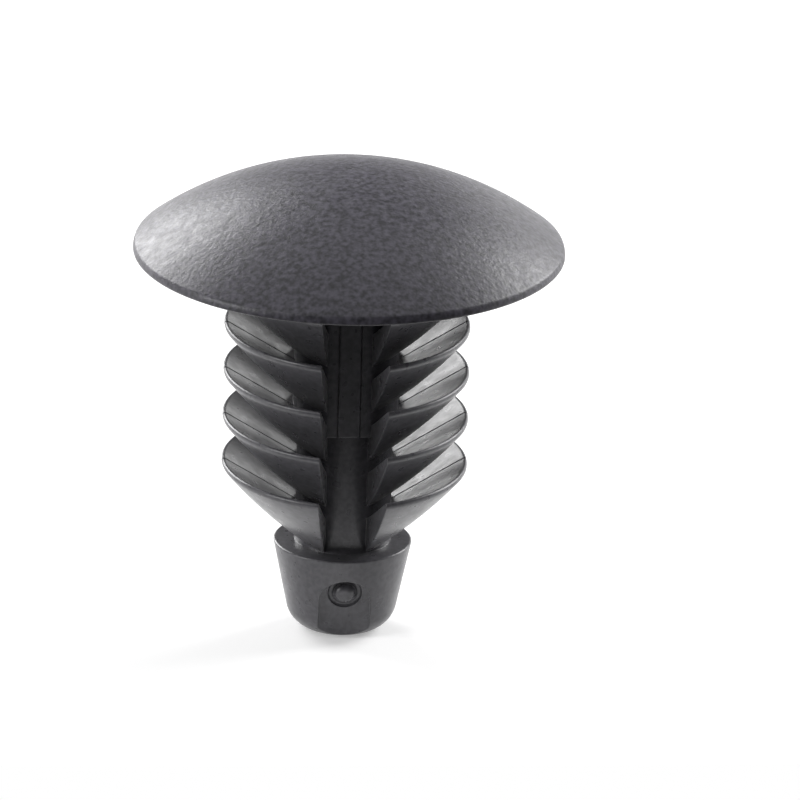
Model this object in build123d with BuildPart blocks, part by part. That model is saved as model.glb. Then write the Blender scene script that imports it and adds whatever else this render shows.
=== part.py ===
from build123d import *
import os
from math import radians, tan

# Push-in trim clip, moulded in one piece.
# Its axis is Z with the head on top. The origin is the middle of the ring under the head
# that seats on the panel. The front, with the gate mark in its tip, faces -Y.
# All sizes are in millimetres.

# Head: a shallow domed cap, hollow below, that seats on a flat ring.
# The ring's outer edge is sharp, where the halves of the mould part.
head_diameter = 18.0
head_height = 3.4
head_land = 0.3
seat_inner_diameter = 14.6
hollow_roof_diameter = 10.4
hollow_height = 1.6

# Shank: everything below the seating ring
shank_length = 16.6

# Fins: thin cups that open towards the head, all alike and equally spaced.
# Each cup is a left and a right half, and each half is turned about an axis of its own
# that lies a little beyond the clip's axis, so a cup is narrower across than along.
# Its root lies inside the post, as deep as given here at the sides.
fin_count = 5
fin_pitch = 2.03
fin_across = 10.25
fin_along = 11.0
fin_rim = 0.28
fin_root_depth = 0.8
fin_under_angle = 43.0
fin_top_angle = 31.0
lowest_rim_depth = 9.38

# Slots: open the cups at front and back, down to the core
slot_floor = 1.86
slot_mouth = 2.84
slot_overrun = 0.3

# Core: a rounded square above, a round post below
core_across = 4.3
core_along = 4.5
core_corner = 1.5
core_step_depth = 7.45
post_diameter = 4.0

# Plain raised field on the front of the core, inside the slot
field_width = 0.96
field_proud = 0.1
field_top_depth = 0.6

# Tip: a blunt tapered lead-in with a ledge on top
tip_diameter = 5.8
tip_length = 3.87
tip_taper = 11.7
tip_end_round = 1.2
tip_ledge_bevel = 0.1

# Gate mark: an arched recess in the front of the tip, with a small domed pip
gate_width = 2.16
gate_top_depth = 13.7
gate_cut = 0.4
pip_diameter = 1.16
pip_height = 0.26
pip_depth = 14.48
pip_taper = 32.0

# Sizes that follow from those above
head_radius = head_diameter / 2
dome_rise = head_height - head_land
dome_radius = (head_radius**2 + dome_rise**2) / (2 * dome_rise)

rim_across = fin_across / 2
rim_along = fin_along / 2
mouth_half = slot_mouth / 2
turn_offset = (rim_along**2 + mouth_half**2 - rim_across**2) / (2 * (rim_across - mouth_half))
rim_radius = rim_across + turn_offset
root_radius = post_diameter / 2 + turn_offset - fin_root_depth
under_drop = (rim_radius - root_radius) * tan(radians(fin_under_angle))
dish_drop = (rim_radius - root_radius) * tan(radians(fin_top_angle))
ledge_depth = shank_length - tip_length
slot_reach = rim_radius + slot_overrun
slot_flare = (slot_mouth - slot_floor) / (fin_along - core_along)
slot_end_half = slot_floor / 2 + slot_flare * (slot_reach - core_along / 2)

tip_radius = tip_diameter / 2
tip_slope = tan(radians(tip_taper))
tip_foot_radius = tip_radius - tip_length * tip_slope


# Fins alone: each half cup is one section through its rim, turned half way round
with BuildPart() as fins:
    for side in (1, -1):
        turning_point = (-side * turn_offset, 0, 0)
        section_plane = Plane(turning_point, x_dir=(0, -side, 0), z_dir=(-side, 0, 0))
        with BuildSketch(section_plane):
            for index in range(fin_count):
                rim_low = index * fin_pitch - lowest_rim_depth
                rim_top = rim_low + fin_rim
                with BuildLine():
                    Polyline(
                        (rim_radius, rim_low),
                        (rim_radius, rim_top),
                        (root_radius, rim_top - dish_drop),
                        (root_radius, rim_low - under_drop),
                        close=True,
                    )
                make_face()
        revolve(axis=Axis(turning_point, (0, 0, 1)), revolution_arc=180)

    # Flared slots through every fin, front and back
    with BuildSketch(Plane.XY.offset(-shank_length)):
        with BuildLine():
            front_corners = Polyline(
                (0, 0),
                (slot_floor / 2, 0),
                (slot_floor / 2, -core_along / 2),
                (slot_end_half, -slot_reach),
                (0, -slot_reach),
            )
            mirror(front_corners, about=Plane.YZ)
        make_face()
        mirror(about=Plane.XZ)
    extrude(amount=shank_length, mode=Mode.SUBTRACT)


with BuildPart() as trim_clip:
    # Head in half section, turned about the axis
    with BuildSketch(Plane.XZ):
        with BuildLine():
            RadiusArc((0, head_height), (head_radius, head_land), dome_radius)
            Polyline(
                (head_radius, head_land),
                (head_radius, 0),
                (seat_inner_diameter / 2, 0),
                (hollow_roof_diameter / 2, hollow_height),
                (0, hollow_height),
                (0, head_height),
            )
        make_face()
    revolve(axis=Axis.Z)

    # Core, rooted in the head, and the post below its step
    with BuildSketch(Plane.XY.offset(-core_step_depth)):
        RectangleRounded(core_across, core_along, core_corner)
    extrude(amount=core_step_depth + (hollow_height + head_height) / 2)
    with BuildSketch(Plane.XY.offset(-ledge_depth)):
        Circle(post_diameter / 2)
    extrude(amount=ledge_depth - core_step_depth)

    # Raised field on the front face of the core
    with BuildSketch(Plane.XZ.offset(core_along / 2 + field_proud)):
        with Locations((0, -(core_step_depth + field_top_depth) / 2)):
            Rectangle(field_width, core_step_depth - field_top_depth)
    extrude(amount=-core_along / 4)

    # Tip in half section, turned about the axis
    with BuildSketch(Plane.XZ) as tip_section:
        with BuildLine():
            Polyline(
                (0, -shank_length),
                (tip_foot_radius, -shank_length),
                (tip_radius, -ledge_depth),
                (0, -ledge_depth),
                close=True,
            )
        make_face()
        fillet(tip_section.vertices().sort_by(Axis.X)[-2], tip_end_round)
        chamfer(tip_section.vertices().sort_by(Axis.X)[-1], tip_ledge_bevel)
    revolve(axis=Axis.Z)

    add(fins.part)

    # Gate mark on a plane along the slope of the tip's front
    gate_plane = Plane(
        origin=(0, -(tip_radius - (gate_top_depth - ledge_depth) * tip_slope), -gate_top_depth),
        x_dir=(1, 0, 0),
        z_dir=(0, -1, -tip_slope),
    ).offset(-gate_cut)
    with BuildSketch(gate_plane):
        with Locations((0, -gate_width / 2)):
            Circle(gate_width / 2)
        with Locations((0, -(gate_width + tip_length) / 2)):
            Rectangle(gate_width, tip_length)
    extrude(amount=tip_radius, mode=Mode.SUBTRACT)
    with BuildSketch(gate_plane):
        with Locations((0, gate_top_depth - pip_depth)):
            Circle(pip_diameter / 2)
    extrude(amount=pip_height, taper=pip_taper)

trim_clip.part.label = "trim_clip"
os.makedirs("parts", exist_ok=True)
export_step(trim_clip.part, "parts/trim_clip.step")
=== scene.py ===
import math

import bmesh
import bpy
from mathutils import Matrix, Vector


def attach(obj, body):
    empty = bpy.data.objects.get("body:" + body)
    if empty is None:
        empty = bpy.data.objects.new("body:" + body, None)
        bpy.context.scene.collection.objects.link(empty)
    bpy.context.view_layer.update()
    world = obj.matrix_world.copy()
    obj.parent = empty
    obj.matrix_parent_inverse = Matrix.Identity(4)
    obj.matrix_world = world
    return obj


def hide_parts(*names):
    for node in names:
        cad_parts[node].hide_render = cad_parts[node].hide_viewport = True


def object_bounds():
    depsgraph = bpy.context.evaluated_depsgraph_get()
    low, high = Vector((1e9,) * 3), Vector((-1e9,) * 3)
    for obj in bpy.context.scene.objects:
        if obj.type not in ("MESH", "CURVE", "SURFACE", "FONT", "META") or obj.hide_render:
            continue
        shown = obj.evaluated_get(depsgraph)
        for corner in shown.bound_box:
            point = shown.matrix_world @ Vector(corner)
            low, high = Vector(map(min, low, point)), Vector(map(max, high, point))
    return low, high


# %% [markdown]
# # A push-in trim clip
# The clip holds a panel to a car body. It is one moulding in black nylon: a shallow domed head, a shank
# with springy cups on each side of a slot, and a blunt tip that finds the hole.
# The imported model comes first. Everything made later sits in its frame, in metres: Z points out of the
# panel, the seat under the head is at height 0, and the slotted front faces -Y.

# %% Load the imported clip
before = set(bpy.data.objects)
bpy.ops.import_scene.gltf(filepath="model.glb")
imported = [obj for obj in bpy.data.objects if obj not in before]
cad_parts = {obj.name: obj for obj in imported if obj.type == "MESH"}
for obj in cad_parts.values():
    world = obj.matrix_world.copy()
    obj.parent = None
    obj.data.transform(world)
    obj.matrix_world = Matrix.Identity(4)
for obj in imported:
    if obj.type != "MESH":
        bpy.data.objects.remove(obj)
cad_low, cad_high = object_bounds()
MM = 0.001
print("CAD box in mm:", [round(v / MM, 2) for v in cad_low], [round(v / MM, 2) for v in cad_high])

# %% [markdown]
# ## The camera
# The view is from a little above the head, almost straight at the slot, through a long lens, so the
# clip looks nearly as it would in a drawing. The camera could be placed by hand and nudged, but it is
# easier to check when it follows from a few numbers: a yaw to one side, an elevation, a small roll and
# a distance. The size in the picture is given as pixels per millimetre at the clip's origin, and the
# lens follows from that.

# %% Work out the camera's directions
IMAGE_SIDE = 800
ORIGIN_PIXEL = (349.1, 251.4)
PIXELS_PER_MM = 24.05
CAMERA_DISTANCE = 751 * MM
CAMERA_YAW = math.radians(-4.2)
CAMERA_ELEVATION = math.radians(20.4)
CAMERA_ROLL = math.radians(1.4)

toward_camera = Vector((
    math.sin(CAMERA_YAW) * math.cos(CAMERA_ELEVATION),
    -math.cos(CAMERA_YAW) * math.cos(CAMERA_ELEVATION),
    math.sin(CAMERA_ELEVATION),
))
level_right = Vector((math.cos(CAMERA_YAW), math.sin(CAMERA_YAW), 0))
level_up = toward_camera.cross(level_right)
picture_right = level_right * math.cos(CAMERA_ROLL) + level_up * math.sin(CAMERA_ROLL)
picture_up = level_up * math.cos(CAMERA_ROLL) - level_right * math.sin(CAMERA_ROLL)

middle_pixel = IMAGE_SIDE / 2
aim = (
    picture_right * (middle_pixel - ORIGIN_PIXEL[0])
    - picture_up * (middle_pixel - ORIGIN_PIXEL[1])
) * (MM / PIXELS_PER_MM)
print("aimed at, in mm:", [round(v / MM, 2) for v in aim])

# %% Make the camera
SENSOR = 36.0
NEAREST_SEEN = 0.01
FARTHEST_SEEN = 20.0

camera = bpy.data.objects.new("camera", bpy.data.cameras.new("camera"))
bpy.context.scene.collection.objects.link(camera)
camera.data.sensor_width = SENSOR
camera.data.lens = SENSOR * PIXELS_PER_MM * (CAMERA_DISTANCE / MM) / IMAGE_SIDE
camera.data.clip_start = NEAREST_SEEN
camera.data.clip_end = FARTHEST_SEEN
camera_turn = Matrix((picture_right, picture_up, toward_camera)).transposed().to_4x4()
camera.matrix_world = Matrix.Translation(aim + toward_camera * CAMERA_DISTANCE) @ camera_turn
bpy.context.scene.camera = camera
print("lens in mm:", round(camera.data.lens, 1))

# %% [markdown]
# ## Outlines that turn into solids
# Almost every form on the clip is round about an upright axis, so each starts as an outline of
# (radius, height) points and is spun. An outline has sharp corners first. A vertex bevel then rounds
# them, as a mould maker breaks the corners of a cavity. Its setback is how far along each side the
# round starts. A corner is looked up by its place, because a bmesh operator may replace the vertices
# that were there before. Sizes are typed in millimetres and scaled once, as the outline is made.

# %% Helpers that draw and round an outline


def draw_outline(points, closed):
    """A mesh in the making that holds one outline of (radius, height) points in mm."""
    shape = bmesh.new()
    corners = [shape.verts.new((radius * MM, 0, height * MM)) for radius, height in points]
    for start, end in zip(corners, corners[1:]):
        shape.edges.new((start, end))
    if closed:
        shape.edges.new((corners[-1], corners[0]))
    return shape


def corner_at(shape, point):
    """The corner of an outline that lies nearest to a (radius, height) point in mm."""
    place = Vector((point[0] * MM, 0, point[1] * MM))
    return min(shape.verts, key=lambda corner: (corner.co - place).length)


def round_corner(shape, point, setback, segments):
    """Rounds the corner of an outline at a (radius, height) point in mm."""
    bmesh.ops.bevel(
        shape, geom=[corner_at(shape, point)], offset=setback * MM, offset_type="OFFSET",
        segments=segments, profile=0.5, affect="VERTICES", material=-1, clamp_overlap=False,
    )


trial = draw_outline([(0, 0), (1, 0), (1, 1)], closed=False)
round_corner(trial, (1, 0), setback=0.5, segments=4)
print("a corner rounded with 4 segments has become", len(trial.verts) - 2, "points")
trial.free()

# %% [markdown]
# ## From an outline to a shell
# The spin operator turns an outline about an axis. After a full turn the last row meets the first, so
# the two are merged. A spin can also come out inside out, so its normals are worked out again once the
# doubles are gone. Each finished form is kept as a closed shell, and all the shells are united later.

# %% Helpers that spin an outline and keep the shell
FULL_TURN = 2 * math.pi
WELD = 1e-8


def spin_outline(shape, angle, steps):
    """Turns everything in the mesh about the upright axis through its middle."""
    bmesh.ops.spin(
        shape, geom=shape.verts[:] + shape.edges[:], cent=(0, 0, 0), axis=(0, 0, 1),
        dvec=(0, 0, 0), angle=angle, steps=steps, use_merge=math.isclose(abs(angle), FULL_TURN),
        use_duplicate=False,
    )
    bmesh.ops.remove_doubles(shape, verts=shape.verts[:], dist=WELD)
    bmesh.ops.recalc_face_normals(shape, faces=shape.faces[:])


def finish_shell(shape, name):
    """Puts a closed shell into an object of its own, for the union later."""
    bmesh.ops.recalc_face_normals(shape, faces=shape.faces[:])
    open_edges = sum(1 for edge in shape.edges if not edge.is_manifold)
    mesh = bpy.data.meshes.new(name)
    shape.to_mesh(mesh)
    shape.free()
    print(name, "faces:", len(mesh.polygons), "open edges:", open_edges)
    return bpy.data.objects.new(name, mesh)


print("points closer than this are welded, in mm:", WELD / MM)

# %% [markdown]
# ## The head
# A shallow cap, part of a large ball, that ends in a short upright land and seats on a flat ring. It is
# hollow below, so that the plastic doesn't sink as it cools. The dome could be a cut sphere. Here its
# arc is one vertex spun about the ball's middle, which keeps it on the same outline as the rest, so the
# edge of the dome can be rounded like any other corner.

# %% Draw the head's outline
HEAD_RADIUS = min(cad_high.x, cad_high.y, -cad_low.x, -cad_low.y) / MM
HEAD_HEIGHT = cad_high.z / MM
HEAD_LAND = 0.3
SEAT_INNER_RADIUS = 7.3
HOLLOW_ROOF_RADIUS = 5.2
HOLLOW_HEIGHT = 1.6
DOME_STEPS = 56

dome_rise = HEAD_HEIGHT - HEAD_LAND
ball_radius = (HEAD_RADIUS ** 2 + dome_rise ** 2) / (2 * dome_rise)

hollow_middle = (0, HOLLOW_HEIGHT)
hollow_corner = (HOLLOW_ROOF_RADIUS, HOLLOW_HEIGHT)
seat_inner = (SEAT_INNER_RADIUS, 0)
seat_outer = (HEAD_RADIUS, 0)
dome_edge = (HEAD_RADIUS, HEAD_LAND)

head = draw_outline([hollow_middle, hollow_corner, seat_inner, seat_outer, dome_edge], closed=False)
bmesh.ops.spin(
    head, geom=[corner_at(head, dome_edge)], cent=(0, 0, (HEAD_HEIGHT - ball_radius) * MM),
    axis=(0, 1, 0), dvec=(0, 0, 0), angle=-math.asin(HEAD_RADIUS / ball_radius), steps=DOME_STEPS,
    use_merge=False, use_duplicate=False,
)
print("ball radius of the dome in mm:", round(ball_radius, 2))

# %% Round its corners and spin it
DOME_EDGE_ROUND = 0.24
SEAT_OUTER_ROUND = 0.05
SEAT_INNER_ROUND = 0.1
HOLLOW_ROUND = 0.3
HEAD_STEPS = 192

round_corner(head, dome_edge, DOME_EDGE_ROUND, segments=8)
round_corner(head, seat_outer, SEAT_OUTER_ROUND, segments=3)
round_corner(head, seat_inner, SEAT_INNER_ROUND, segments=3)
round_corner(head, hollow_corner, HOLLOW_ROUND, segments=4)
spin_outline(head, FULL_TURN, HEAD_STEPS)
shells = [finish_shell(head, "head_shell")]

# %% [markdown]
# ## The springy cups
# Below the head hang five cups, cut by a slot into left and right halves. Each half is a bent sheet that
# opens upwards, so it folds in as the clip goes through the hole and springs out behind it. A half is
# turned about an axis of its own, a little past the clip's middle, which makes a cup narrower across
# than along. Where that axis lies follows from the two widths and from the slot's width at its mouth.

# %% Sizes of a cup
CUP_COUNT = 5
CUP_PITCH = 2.03
CUP_ACROSS = 5.125
CUP_ALONG = 5.5
CUP_RIM = 0.28
LOWEST_RIM_DEPTH = 9.38
UNDER_ANGLE = math.radians(43.0)
TOP_ANGLE = math.radians(31.0)
ROOT_DEPTH = 0.8
POST_RADIUS = 2.0
SLOT_FLOOR_HALF = 0.93
SLOT_MOUTH_HALF = 1.42
CORE_FRONT = 2.25

axis_offset = (
    (CUP_ALONG ** 2 + SLOT_MOUTH_HALF ** 2 - CUP_ACROSS ** 2) / (2 * (CUP_ACROSS - SLOT_MOUTH_HALF))
)
rim_radius = CUP_ACROSS + axis_offset
root_radius = POST_RADIUS + axis_offset - ROOT_DEPTH
slot_flare = (SLOT_MOUTH_HALF - SLOT_FLOOR_HALF) / (CUP_ALONG - CORE_FRONT)
print("turning axis past the middle in mm:", round(axis_offset, 3), "rim radius:", round(rim_radius, 3))

# %% [markdown]
# ## A cup's section
# Four corners make the section: two at the rim and two at the root, which lies inside the post. Real
# cups aren't quite straight underneath but bow outwards like a bowl, so the lower edge is divided and
# its points are pushed out along a parabola. The rim's upper corner gets a wide round, which catches
# the light as the bright line along each rim.

# %% A helper for the section
UNDER_BOW = 0.16
BOW_POINTS = 7
UPPER_RIM_ROUND = 0.19
LOWER_RIM_ROUND = 0.07


def cup_outline(rim_low):
    """The section of a cup through its rim, as an outline ready to spin."""
    reach = rim_radius - root_radius
    rim_top = rim_low + CUP_RIM
    lower_rim = (rim_radius, rim_low)
    upper_rim = (rim_radius, rim_top)
    upper_root = (root_radius, rim_top - reach * math.tan(TOP_ANGLE))
    lower_root = (root_radius, rim_low - reach * math.tan(UNDER_ANGLE))
    shape = draw_outline([lower_rim, upper_rim, upper_root, lower_root], closed=True)
    under = shape.edges.get((corner_at(shape, lower_root), corner_at(shape, lower_rim)))
    start = corner_at(shape, lower_root).co.copy()
    slope = corner_at(shape, lower_rim).co - start
    outward = Vector((slope.z, 0, -slope.x)).normalized()
    divided = bmesh.ops.subdivide_edges(shape, edges=[under], cuts=BOW_POINTS)
    for corner in (v for v in divided["geom_inner"] if isinstance(v, bmesh.types.BMVert)):
        share = (corner.co - start).length / slope.length
        corner.co += outward * (UNDER_BOW * MM * 4 * share * (1 - share))
    round_corner(shape, upper_rim, UPPER_RIM_ROUND, segments=6)
    round_corner(shape, lower_rim, LOWER_RIM_ROUND, segments=3)
    return shape


print("thickness of a cup at its rim in mm:", CUP_RIM)

# %% [markdown]
# ## Slot walls and parting line
# The slot gets wider towards its mouth, so its two walls on a half cup are slanted planes. The bisect
# operator cuts along such a plane, and one new face closes the cut. The mould's slides meet in the
# middle of each side and leave a fine line down the cups. It is a bevel of the edges that lie there,
# with its middle row pressed in a little.

# %% Helpers that cut and mark a half cup
PARTING_HALF = 0.05
PARTING_DEPTH = 0.07


def cut_and_cap(shape, point, normal):
    """Cuts away what lies beyond a plane and closes the cut with one face. Returns its edges."""
    cut = bmesh.ops.bisect_plane(
        shape, geom=shape.verts[:] + shape.edges[:] + shape.faces[:], dist=WELD,
        plane_co=[c * MM for c in point], plane_no=normal, clear_outer=True,
    )
    wall = [e for e in cut["geom_cut"] if isinstance(e, bmesh.types.BMEdge)]
    bmesh.ops.contextual_create(shape, geom=wall)
    return wall


def bevel_edges(shape, edges, width, segments):
    """Rounds the given edges, with the width in mm."""
    return bmesh.ops.bevel(
        shape, geom=edges, offset=width * MM, offset_type="OFFSET", segments=segments,
        profile=0.5, affect="EDGES", material=-1, clamp_overlap=True,
    )


def press_parting_line(shape):
    """Presses a fine groove into a cup half along y = 0."""
    middle = [e for e in shape.edges if all(abs(v.co.y) < WELD for v in e.verts)]
    line = bevel_edges(shape, middle, PARTING_HALF, segments=2)
    shape.normal_update()
    deep = [v for v in line["verts"] if abs(v.co.y) < WELD]
    shifts = [v.normal * (-PARTING_DEPTH * MM) for v in deep]
    for corner, shift in zip(deep, shifts):
        corner.co += shift


print("parting line's width in mm:", 2 * PARTING_HALF)

# %% [markdown]
# ## Ten half cups
# A right half is the section spun by half a turn, moved to its own axis and cut. The left half is the
# same with x turned round. A negative scale leaves a mesh inside out, which finish_shell puts right.

# %% Make the half cups
CUP_STEPS = 96
WALL_ROUND = 0.06


def half_cup(rim_low, side):
    """One half cup, on the right for side 1 and on the left for side -1."""
    shape = cup_outline(rim_low)
    to_front = Matrix.Rotation(-math.pi / 2, 3, "Z")
    bmesh.ops.rotate(shape, verts=shape.verts[:], cent=(0, 0, 0), matrix=to_front)
    spin_outline(shape, math.pi, CUP_STEPS)
    bmesh.ops.translate(shape, verts=shape.verts[:], vec=(-axis_offset * MM, 0, 0))
    press_parting_line(shape)
    for front in (-1, 1):
        wall_foot = (SLOT_FLOOR_HALF, front * CORE_FRONT, 0)
        wall = cut_and_cap(shape, wall_foot, (-1, front * slot_flare, 0))
        bevel_edges(shape, wall, WALL_ROUND, segments=3)
    bmesh.ops.scale(shape, vec=(side, 1, 1), verts=shape.verts[:])
    return shape


for index in range(CUP_COUNT):
    rim_low = index * CUP_PITCH - LOWEST_RIM_DEPTH
    for side, word in ((1, "right"), (-1, "left")):
        shells.append(finish_shell(half_cup(rim_low, side), f"cup_{index}_{word}"))

# %% [markdown]
# ## Core and post
# The cups grow from a core down the middle. It is a rounded square as far as a small step, and a round
# post below. A bare raised field fills the front of the core inside the slot. The core and the field
# start as a cube, stretched and with some of its edges bevelled. The post is a cone whose two radii are
# equal. Each reaches a little way into its neighbours, so that the union has something to take hold of.

# %% Model the core
CORE_HALF_ACROSS = 2.15
CORE_CORNER = 1.5
CORE_STEP_DEPTH = 7.45
CORE_STEP_ROUND = 0.06
ROOT_HEIGHT = 2.4


def bar(half_x, half_y, low, high, middle_y=0.0):
    """A straight bar in mm, with square corners."""
    shape = bmesh.new()
    bmesh.ops.create_cube(shape, size=2)
    half_sizes = Vector((half_x, half_y, (high - low) / 2)) * MM
    bmesh.ops.scale(shape, vec=half_sizes, verts=shape.verts[:])
    middle = Vector((0, middle_y, (high + low) / 2)) * MM
    bmesh.ops.translate(shape, vec=middle, verts=shape.verts[:])
    return shape


core = bar(CORE_HALF_ACROSS, CORE_FRONT, -CORE_STEP_DEPTH, ROOT_HEIGHT)
upright = [e for e in core.edges if abs(e.verts[0].co.z - e.verts[1].co.z) > MM]
bevel_edges(core, upright, CORE_CORNER, segments=10)
step_height = -CORE_STEP_DEPTH * MM
step_edges = [e for e in core.edges if all(v.co.z < step_height + WELD for v in e.verts)]
bevel_edges(core, step_edges, CORE_STEP_ROUND, segments=2)
shells.append(finish_shell(core, "core_shell"))

# %% Model the post and the field
TIP_LENGTH = 3.87
SHANK_LENGTH = -cad_low.z / MM
LEDGE_DEPTH = SHANK_LENGTH - TIP_LENGTH
POST_STEPS = 96
POST_OVERLAP = 0.5
FIELD_HALF = 0.48
FIELD_PROUD = 0.1
FIELD_ROOT = 0.9
FIELD_TOP_DEPTH = 0.6
FIELD_FOOT_GAP = 0.02
FIELD_ROUND = 0.08

post = bmesh.new()
bmesh.ops.create_cone(
    post, cap_ends=True, cap_tris=False, segments=POST_STEPS, radius1=POST_RADIUS * MM,
    radius2=POST_RADIUS * MM, depth=(LEDGE_DEPTH - CORE_STEP_DEPTH + 2 * POST_OVERLAP) * MM,
)
bmesh.ops.translate(post, vec=(0, 0, -(LEDGE_DEPTH + CORE_STEP_DEPTH) / 2 * MM), verts=post.verts[:])
shells.append(finish_shell(post, "post_shell"))

field = bar(
    FIELD_HALF, (FIELD_PROUD + FIELD_ROOT) / 2, FIELD_FOOT_GAP - CORE_STEP_DEPTH, -FIELD_TOP_DEPTH,
    middle_y=-(CORE_FRONT + (FIELD_PROUD - FIELD_ROOT) / 2),
)
field_rim = [e for e in field.edges if all(v.co.y < -CORE_FRONT * MM for v in e.verts)]
bevel_edges(field, field_rim, FIELD_ROUND, segments=3)
shells.append(finish_shell(field, "field_shell"))

# %% [markdown]
# ## The tip
# A blunt taper guides the clip into its hole, and a ledge round its top stops a cup from folding too
# far. Its outline has a wide round at the foot and a small one at the ledge, and is spun like the head.
# The foot's round is known by its radius, so its setback is that times the tangent of half the turn.

# %% Model the tip
TIP_RADIUS = 2.9
TIP_TAPER = math.radians(11.7)
TIP_END_RADIUS = 1.2
LEDGE_ROUND = 0.09
TIP_STEPS = 128

TIP_SLOPE = math.tan(TIP_TAPER)
foot_setback = TIP_END_RADIUS * math.tan((math.pi / 2 - TIP_TAPER) / 2)
foot_edge = (TIP_RADIUS - TIP_LENGTH * TIP_SLOPE, -SHANK_LENGTH)
ledge_edge = (TIP_RADIUS, -LEDGE_DEPTH)
tip = draw_outline([(0, -SHANK_LENGTH), foot_edge, ledge_edge, (0, -LEDGE_DEPTH)], closed=False)
round_corner(tip, foot_edge, foot_setback, segments=12)
round_corner(tip, ledge_edge, LEDGE_ROUND, segments=4)
spin_outline(tip, FULL_TURN, TIP_STEPS)
tip_shell = finish_shell(tip, "tip_shell")

# %% [markdown]
# ## The gate mark
# The front of the tip has the mark that the mould's gate leaves: an arched flat recess with a small
# domed pip where the runner broke off, and a groove round the pip. All of it lies on the tip's slope, so
# it is modelled flat, with its y axis up the slope, and one matrix puts it in place. The recess is cut
# with an arch-shaped block, a rectangle whose top corners are rounded until they all but meet.

# %% Place the mark and make the block that cuts the recess
ARCH_HALF = 1.08
ARCH_TOP_DEPTH = 13.7
ARCH_CUT = 0.4
ARCH_CORNER = 0.999 * ARCH_HALF
RECESS_ROUND = 0.1

slope_out = Vector((0, -1, -TIP_SLOPE)).normalized()
slope_up = Vector((0, -TIP_SLOPE, 1)).normalized()
arch_top_y = -(TIP_RADIUS - (ARCH_TOP_DEPTH - LEDGE_DEPTH) * TIP_SLOPE)
arch_top = (Vector((0, arch_top_y, -ARCH_TOP_DEPTH)) - slope_out * ARCH_CUT) * MM
slope_turn = Matrix((Vector((1, 0, 0)), slope_up, slope_out)).transposed().to_4x4()
slope_place = Matrix.Translation(arch_top) @ slope_turn

arch = bmesh.new()
bmesh.ops.create_grid(arch, x_segments=1, y_segments=1, size=1)
bmesh.ops.scale(arch, vec=(ARCH_HALF * MM, TIP_LENGTH / 2 * MM, 1), verts=arch.verts[:])
bmesh.ops.translate(arch, vec=(0, -TIP_LENGTH / 2 * MM, 0), verts=arch.verts[:])
bmesh.ops.bevel(
    arch, geom=[v for v in arch.verts if abs(v.co.y) < WELD], offset=ARCH_CORNER * MM,
    offset_type="OFFSET", segments=16, profile=0.5, affect="VERTICES", material=-1,
    clamp_overlap=False,
)
grown = bmesh.ops.extrude_face_region(arch, geom=arch.faces[:])
raised = [v for v in grown["geom"] if isinstance(v, bmesh.types.BMVert)]
bmesh.ops.translate(arch, vec=(0, 0, TIP_RADIUS * MM), verts=raised)
bmesh.ops.recalc_face_normals(arch, faces=arch.faces[:])
recess_rim = [e for e in arch.edges if all(v.co.z < WELD for v in e.verts)]
bevel_edges(arch, recess_rim, RECESS_ROUND, segments=3)
bmesh.ops.transform(arch, matrix=slope_place, verts=arch.verts[:])
arch_shell = finish_shell(arch, "arch_block")

# %% Make the pip, and the ring that cuts the groove round it
PIP_RADIUS = 0.58
PIP_TOP_RADIUS = 0.6 * PIP_RADIUS
PIP_HEIGHT = 0.26
PIP_DEPTH = 14.48
PIP_TOP_ROUND = 0.2
PIP_STEPS = 48
MOAT_RADIUS = 0.6
MOAT_HALF_WIDTH = 0.12
MOAT_STEPS = 64

pip_shift = Vector((0, ARCH_TOP_DEPTH - PIP_DEPTH, 0)) * MM

pip = bmesh.new()
bmesh.ops.create_cone(
    pip, cap_ends=True, cap_tris=False, segments=PIP_STEPS, radius1=PIP_RADIUS * MM,
    radius2=PIP_TOP_RADIUS * MM, depth=2 * PIP_HEIGHT * MM,
)
pip_top = [e for e in pip.edges if all(v.co.z > 0 for v in e.verts)]
bevel_edges(pip, pip_top, PIP_TOP_ROUND, segments=6)

moat = bmesh.new()
bmesh.ops.create_circle(moat, cap_ends=False, segments=16, radius=MOAT_HALF_WIDTH * MM)
upright_turn = Matrix.Rotation(math.pi / 2, 3, "X")
bmesh.ops.rotate(moat, verts=moat.verts[:], cent=(0, 0, 0), matrix=upright_turn)
bmesh.ops.translate(moat, verts=moat.verts[:], vec=(MOAT_RADIUS * MM, 0, 0))
spin_outline(moat, FULL_TURN, MOAT_STEPS)

for shape in (pip, moat):
    bmesh.ops.translate(shape, vec=pip_shift, verts=shape.verts[:])
    bmesh.ops.transform(shape, matrix=slope_place, verts=shape.verts[:])
shells.append(finish_shell(pip, "pip_shell"))
moat_shell = finish_shell(moat, "moat_ring")

# %% [markdown]
# ## One moulding
# The real clip is a single piece, so its shells become one skin. Joining them would leave walls inside;
# a boolean union takes those away. The recess and the groove are cut from the tip first. Two solvers
# could do it. The exact one left open edges on these shells, and other ones in each run. The manifold
# one takes closed shells only, and gave a closed skin, the same each time. A boolean is a modifier here,
# and its result is taken as a new mesh, so no modifier stays on the clip.

# %% Cut the gate mark
spare = bpy.data.collections.new("shells")
bpy.context.scene.collection.children.link(spare)
for shell in shells + [tip_shell, arch_shell, moat_shell]:
    spare.objects.link(shell)


def evaluated_mesh(target):
    """The mesh of an object with its modifiers worked in."""
    depsgraph = bpy.context.evaluated_depsgraph_get()
    return bpy.data.meshes.new_from_object(target.evaluated_get(depsgraph))


for cutter in (arch_shell, moat_shell):
    cut = tip_shell.modifiers.new("cut", "BOOLEAN")
    cut.operation = "DIFFERENCE"
    cut.solver = "MANIFOLD"
    cut.object = cutter
    cut_mesh = evaluated_mesh(tip_shell)
    tip_shell.modifiers.remove(cut)
    tip_shell.data = cut_mesh
    bpy.data.objects.remove(cutter)
print("faces of the tip with its mark:", len(tip_shell.data.polygons))

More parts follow.
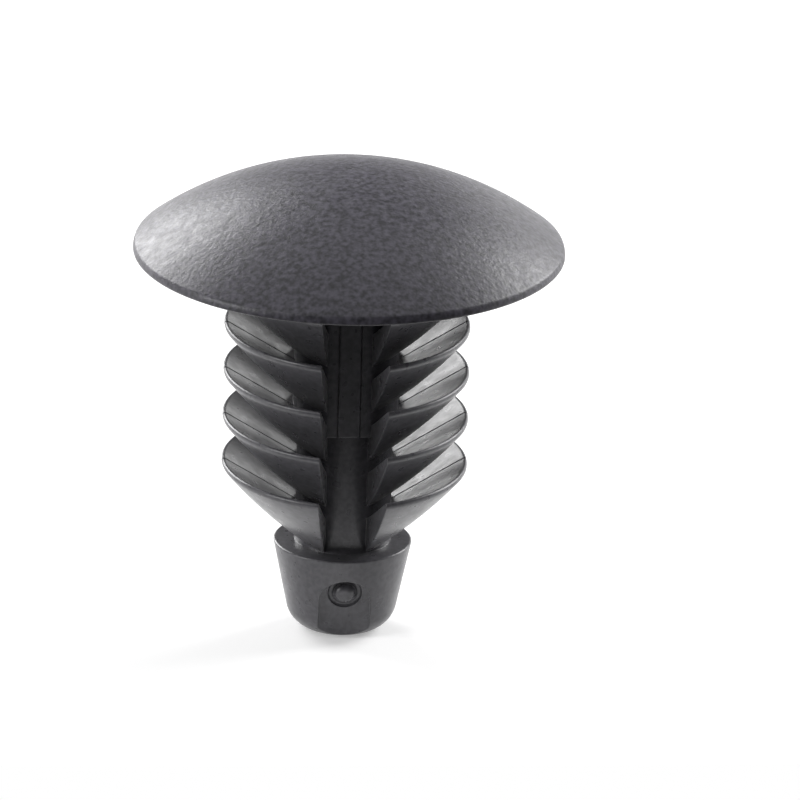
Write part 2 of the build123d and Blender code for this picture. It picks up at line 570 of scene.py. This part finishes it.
# %% Unite the shells
whole = shells[0]
spare.objects.unlink(whole)
bpy.context.scene.collection.objects.link(whole)
union = whole.modifiers.new("union", "BOOLEAN")
union.operation = "UNION"
union.solver = "MANIFOLD"
union.operand_type = "COLLECTION"
union.collection = spare
clip = bpy.data.objects.new("clip", evaluated_mesh(whole))
bpy.context.scene.collection.objects.link(clip)
for shell in shells + [tip_shell]:
    bpy.data.objects.remove(shell)
bpy.data.collections.remove(spare)
print("shells united:", len(shells) + 1)

# %% [markdown]
# ## Smooth shading and a last look at the mesh
# Faces that meet at a small angle are shaded as one smooth surface, and sharper edges stay sharp. A
# union leaves long thin faces beside large ones, which can make smooth shading uneven. Weighted normals
# let the large faces count for more. The mesh has to be closed, so its open edges are counted.

# %% Shade the clip and count its open edges
SMOOTH_BELOW = math.radians(33)

united = clip.data
united.polygons.foreach_set("use_smooth", [True] * len(united.polygons))
united.set_sharp_from_angle(angle=SMOOTH_BELOW)
weighted = clip.modifiers.new("weighted", "WEIGHTED_NORMAL")
weighted.mode = "FACE_AREA"
weighted.keep_sharp = True
skin = evaluated_mesh(clip)
clip.modifiers.remove(weighted)
clip.data = skin
skin.name = "clip_skin"

check = bmesh.new()
check.from_mesh(skin)
open_edges = sum(1 for edge in check.edges if not edge.is_manifold)
volume = check.calc_volume() / MM ** 3
check.free()
print("clip faces:", len(skin.polygons), "open edges:", open_edges, "volume in mm3:", round(volume, 1))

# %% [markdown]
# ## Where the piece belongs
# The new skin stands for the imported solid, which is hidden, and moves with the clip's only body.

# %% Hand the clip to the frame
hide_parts("trim_clip")
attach(clip, "root")

# %% [markdown]
# ## Floor
# The clip stands in front of pure white with only a soft shadow at its tip. A white floor lit until it
# looks white would need so much light that the clip would look washed out. So the floor has a plain
# pale paint, and rays from the camera and mirrored rays meet a little extra glow on it that brings it
# up to white. Where the clip shades the paint, the glow alone is left, and the shadow shows.
# The floor ends a short way in front of the clip, like the edge of a table. The upright column then
# mirrors the dark room beyond it and looks black, while the tip, close to the floor, stays lighter. A
# hair's gap under the tip keeps its flat end and the floor from lying in one plane.

# %% Make the floor
FLOOR_HALF = 1.5
FLOOR_FRONT = -16 * MM
FLOOR_GAP = 0.01 * MM

sheet = bmesh.new()
bmesh.ops.create_grid(sheet, x_segments=1, y_segments=1, size=FLOOR_HALF)
floor_middle = (0, FLOOR_HALF + FLOOR_FRONT, cad_low.z - FLOOR_GAP)
bmesh.ops.translate(sheet, verts=sheet.verts[:], vec=floor_middle)
floor_mesh = bpy.data.meshes.new("floor")
sheet.to_mesh(floor_mesh)
sheet.free()
floor = bpy.data.objects.new("floor", floor_mesh)
bpy.context.scene.collection.objects.link(floor)
print("floor's side in m:", 2 * FLOOR_HALF)

# %% Paint the floor
FLOOR_PAINT = (0.8, 0.8, 0.8, 1.0)
FLOOR_GLOW = 0.33


def new_material(name):
    """A material with nothing in its tree but an output."""
    material = bpy.data.materials.new(name)
    material.use_nodes = True
    material.node_tree.nodes.clear()
    material.node_tree.nodes.new("ShaderNodeOutputMaterial")
    return material


floor_material = new_material("pale_floor")
tree = floor_material.node_tree
paint = tree.nodes.new("ShaderNodeBsdfDiffuse")
paint.inputs["Color"].default_value = FLOOR_PAINT
glow = tree.nodes.new("ShaderNodeEmission")
glow.inputs["Strength"].default_value = FLOOR_GLOW
lifted = tree.nodes.new("ShaderNodeAddShader")
tree.links.new(paint.outputs["BSDF"], lifted.inputs[0])
tree.links.new(glow.outputs["Emission"], lifted.inputs[1])
ray = tree.nodes.new("ShaderNodeLightPath")
seen_or_mirrored = tree.nodes.new("ShaderNodeMath")
seen_or_mirrored.operation = "MAXIMUM"
tree.links.new(ray.outputs["Is Camera Ray"], seen_or_mirrored.inputs[0])
tree.links.new(ray.outputs["Is Glossy Ray"], seen_or_mirrored.inputs[1])
chosen = tree.nodes.new("ShaderNodeMixShader")
tree.links.new(seen_or_mirrored.outputs["Value"], chosen.inputs["Fac"])
tree.links.new(paint.outputs["BSDF"], chosen.inputs[1])
tree.links.new(lifted.outputs["Shader"], chosen.inputs[2])
tree.links.new(chosen.outputs["Shader"], tree.nodes["Material Output"].inputs["Surface"])
floor_mesh.materials.append(floor_material)
print("nodes in the floor's material:", len(tree.nodes))

# %% [markdown]
# ## Lamps
# A small studio of soft lamps. Two large ones stand low behind the clip, left and right. They put the
# bright streaks inside the cups and the pale sides on the head, and the space between them stays dark,
# which keeps the middle of the head dark. A weak one hangs overhead, a small one low behind on the
# right lights the insides of the left cups, and two at the front left draw the light lines along the
# rims. A lamp's power is worked out from the brightness of its face, so lamps of different size can be
# compared directly.

# %% Set up the lamps
LAMP_DISTANCE = 0.8


def softbox(name, azimuth, elevation, width, height, brightness):
    """An area lamp that faces the clip. Angles are in degrees, azimuth 0 is straight behind it."""
    turn, lift = math.radians(azimuth), math.radians(elevation)
    toward_lamp = Vector((
        math.sin(turn) * math.cos(lift), math.cos(turn) * math.cos(lift), math.sin(lift),
    ))
    data = bpy.data.lights.new(name, "AREA")
    data.shape = "RECTANGLE"
    data.size = width
    data.size_y = height
    data.energy = brightness * math.pi * width * height
    lamp = bpy.data.objects.new(name, data)
    bpy.context.scene.collection.objects.link(lamp)
    lamp.location = toward_lamp * LAMP_DISTANCE
    lamp.rotation_euler = toward_lamp.to_track_quat("Z", "Y").to_euler()
    print(name, "power in W:", round(data.energy, 2))


softbox("overhead", azimuth=0, elevation=80, width=0.9, height=0.8, brightness=0.6)
softbox("left_back", azimuth=-36, elevation=22, width=0.58, height=0.48, brightness=8.5)
softbox("right_back", azimuth=60, elevation=26, width=0.54, height=0.48, brightness=9.5)
softbox("right_low", azimuth=23, elevation=12, width=0.24, height=0.20, brightness=2.2)
softbox("left_front", azimuth=-108, elevation=13, width=0.40, height=0.25, brightness=9.0)
softbox("front_high", azimuth=-130, elevation=48, width=0.22, height=0.22, brightness=5.0)

# %% [markdown]
# ## The room
# The camera sees white all round, while the clip is lit by a dim room and mirrors it. A white room would
# put a grey veil over everything, because even black plastic mirrors some of what stands opposite.

# %% Make the room
ROOM_LIGHT = 0.12

world = bpy.data.worlds.new("room")
world.use_nodes = True
bpy.context.scene.world = world
tree = world.node_tree
background = tree.nodes["Background"]
background.inputs["Color"].default_value = (1, 1, 1, 1)
seen = tree.nodes.new("ShaderNodeLightPath")
level = tree.nodes.new("ShaderNodeMapRange")
level.inputs["To Min"].default_value = ROOM_LIGHT
level.inputs["To Max"].default_value = 1.0
tree.links.new(seen.outputs["Is Camera Ray"], level.inputs["Value"])
tree.links.new(level.outputs["Result"], background.inputs["Strength"])
print("room light:", ROOM_LIGHT)

# %% [markdown]
# ## Black nylon
# One plastic, two finishes. The mould is spark-eroded over the dome, so the head is finely grained and
# matte. It is only polished smooth below, so the shank has a satin gloss with a few flow marks. Both
# come from one material that looks at the height above the seat. All patterns are laid out in the
# clip's own space, so they stay put on it. First come small helpers, so that each line of the recipe
# reads like a sentence.

# %% Start the nylon, with helpers for its nodes
FINISH_CHANGE = 0.1 * MM

nylon = new_material("black_nylon")
nodes, links = nylon.node_tree.nodes, nylon.node_tree.links


def add_node(kind, **settings):
    """A node of the nylon, with its settings given by name."""
    node = nodes.new(kind)
    for setting, value in settings.items():
        setattr(node, setting, value)
    return node


def noise(coordinates, cell, detail):
    """A noise pattern whose cells are about so many mm across."""
    node = add_node("ShaderNodeTexNoise")
    node.inputs["Scale"].default_value = 1 / (cell * MM)
    node.inputs["Detail"].default_value = detail
    links.new(coordinates, node.inputs["Vector"])
    return node.outputs["Fac"]


def ramp(value, low, high, to_low, to_high):
    """Stretches a value from one range to another."""
    node = add_node("ShaderNodeMapRange")
    node.inputs["From Min"].default_value = low
    node.inputs["From Max"].default_value = high
    node.inputs["To Min"].default_value = to_low
    node.inputs["To Max"].default_value = to_high
    links.new(value, node.inputs["Value"])
    return node.outputs["Result"]


def blend(factor, first, second):
    """The first value where the factor is 0, the second where it is 1."""
    node = add_node("ShaderNodeMix", data_type="FLOAT")
    links.new(factor, node.inputs["Factor"])
    links.new(first, node.inputs["A"])
    links.new(second, node.inputs["B"])
    return node.outputs[0]


place = add_node("ShaderNodeTexCoord").outputs["Object"]
split = add_node("ShaderNodeSeparateXYZ")
links.new(place, split.inputs["Vector"])
on_head = ramp(split.outputs["Z"], 0.0, FINISH_CHANGE, 0.0, 1.0)
print("the head's finish starts at the seat and is full this far above it, in mm:", FINISH_CHANGE / MM)

# %% [markdown]
# ## Grain
# The eroded grain is a bump with cells of about a fifth of a millimetre, strong on the head and faint on
# the shank. Under it lies a broad, shallow wave, as plastic has where it shrank a little. The Bevel node
# softens the edges that have no round of their own.

# %% Build the surface
GRAIN_CELL = 0.2
GRAIN_RANGE = (0.1, 0.9)
GRAIN_DEPTH = 0.03 * MM
HEAD_GRAIN = 0.45
SHANK_GRAIN = 0.08
WAVE_CELL = 1.3
WAVE_DEPTH = 0.02 * MM
EDGE_SOFTNESS = 0.06 * MM

grain = noise(place, GRAIN_CELL, detail=1.0)
wave = noise(place, WAVE_CELL, detail=0.0)

softened = add_node("ShaderNodeBevel", samples=4)
softened.inputs["Radius"].default_value = EDGE_SOFTNESS

shank_grain = ramp(grain, *GRAIN_RANGE, 0.0, SHANK_GRAIN)
head_grain = ramp(grain, *GRAIN_RANGE, 0.0, HEAD_GRAIN)
fine = add_node("ShaderNodeBump")
fine.inputs["Distance"].default_value = GRAIN_DEPTH
links.new(blend(on_head, shank_grain, head_grain), fine.inputs["Height"])
links.new(softened.outputs["Normal"], fine.inputs["Normal"])
broad = add_node("ShaderNodeBump")
broad.inputs["Distance"].default_value = WAVE_DEPTH
links.new(wave, broad.inputs["Height"])
links.new(fine.outputs["Normal"], broad.inputs["Normal"])
print("grain depth in mm:", GRAIN_DEPTH / MM, "wave depth:", WAVE_DEPTH / MM)

# %% [markdown]
# ## Colour
# The plastic is speckled, more on the eroded head, where pits hold the shade. Its edges are rubbed a
# little paler. To find them, the softened normal is compared with the real one: on a flat face the two
# agree, and near an edge they part. Geometry's pointiness would do the same job on an even mesh, but
# the union's long thin faces make it streaky.

# %% Mix the colour
HEAD_TONES = ((0.0200, 0.0187, 0.0243, 1), (0.0722, 0.0675, 0.0880, 1))
# The shank's tones are lighter than the head's. This is painted light that brightens the tip and cups,
# not a paler plastic.
SHANK_TONES = ((0.051, 0.050, 0.056, 1), (0.077, 0.075, 0.084, 1))
RUBBED_TONE = (0.11, 0.109, 0.115, 1)
RUBBED_FROM = 0.995
RUBBED_FULLY = 0.90
SPOT_CELL = 0.22
SPOT_RANGE = (0.32, 0.68)


def two_tones(factor, first, second):
    """A colour between two, by a factor. Each is a fixed tone or another node's colour."""
    node = add_node("ShaderNodeMix", data_type="RGBA")
    links.new(factor, node.inputs["Factor"])
    for name, tone in (("A", first), ("B", second)):
        if isinstance(tone, tuple):
            node.inputs[name].default_value = tone
        else:
            links.new(tone, node.inputs[name])
    return node.outputs["Result"]


facing = add_node("ShaderNodeVectorMath", operation="DOT_PRODUCT")
links.new(softened.outputs["Normal"], facing.inputs[0])
links.new(add_node("ShaderNodeNewGeometry").outputs["Normal"], facing.inputs[1])
rubbed = ramp(facing.outputs["Value"], RUBBED_FROM, RUBBED_FULLY, 0.0, 1.0)

spots = ramp(noise(place, SPOT_CELL, detail=1.0), *SPOT_RANGE, 0.0, 1.0)
speckled = two_tones(on_head, two_tones(spots, *SHANK_TONES), two_tones(spots, *HEAD_TONES))
colour = two_tones(rubbed, speckled, RUBBED_TONE)
print("tones of the shank:", SHANK_TONES, "and of the head:", HEAD_TONES)

# %% [markdown]
# ## Gloss
# The roughness changes from patch to patch, and is higher on the head than on the shank. A thin sheen
# stands for the dusty look that eroded plastic has at a flat angle. The refraction index is nylon's.

# %% Put the nylon together
PATCH_CELL = 0.45
PATCH_RANGE = (0.3, 0.7)
HEAD_ROUGHNESS = (0.38, 0.48)
SHANK_ROUGHNESS = (0.27, 0.35)
NYLON_IOR = 1.53
SHEEN = 0.08
SHEEN_ROUGHNESS = 0.35

patches = noise(place, PATCH_CELL, detail=1.0)
rough_head = ramp(patches, *PATCH_RANGE, *HEAD_ROUGHNESS)
rough_shank = ramp(patches, *PATCH_RANGE, *SHANK_ROUGHNESS)

shader = add_node("ShaderNodeBsdfPrincipled")
shader.inputs["IOR"].default_value = NYLON_IOR
shader.inputs["Sheen Weight"].default_value = SHEEN
shader.inputs["Sheen Roughness"].default_value = SHEEN_ROUGHNESS
links.new(colour, shader.inputs["Base Color"])
links.new(blend(on_head, rough_shank, rough_head), shader.inputs["Roughness"])
links.new(broad.outputs["Normal"], shader.inputs["Normal"])
links.new(shader.outputs["BSDF"], nodes["Material Output"].inputs["Surface"])
skin.materials.clear()
skin.materials.append(nylon)
print("nodes in the nylon:", len(nodes))

# %% [markdown]
# ## Last step
# The view transform stays plain.

# %% Finish
bpy.context.scene.view_settings.view_transform = "Standard"
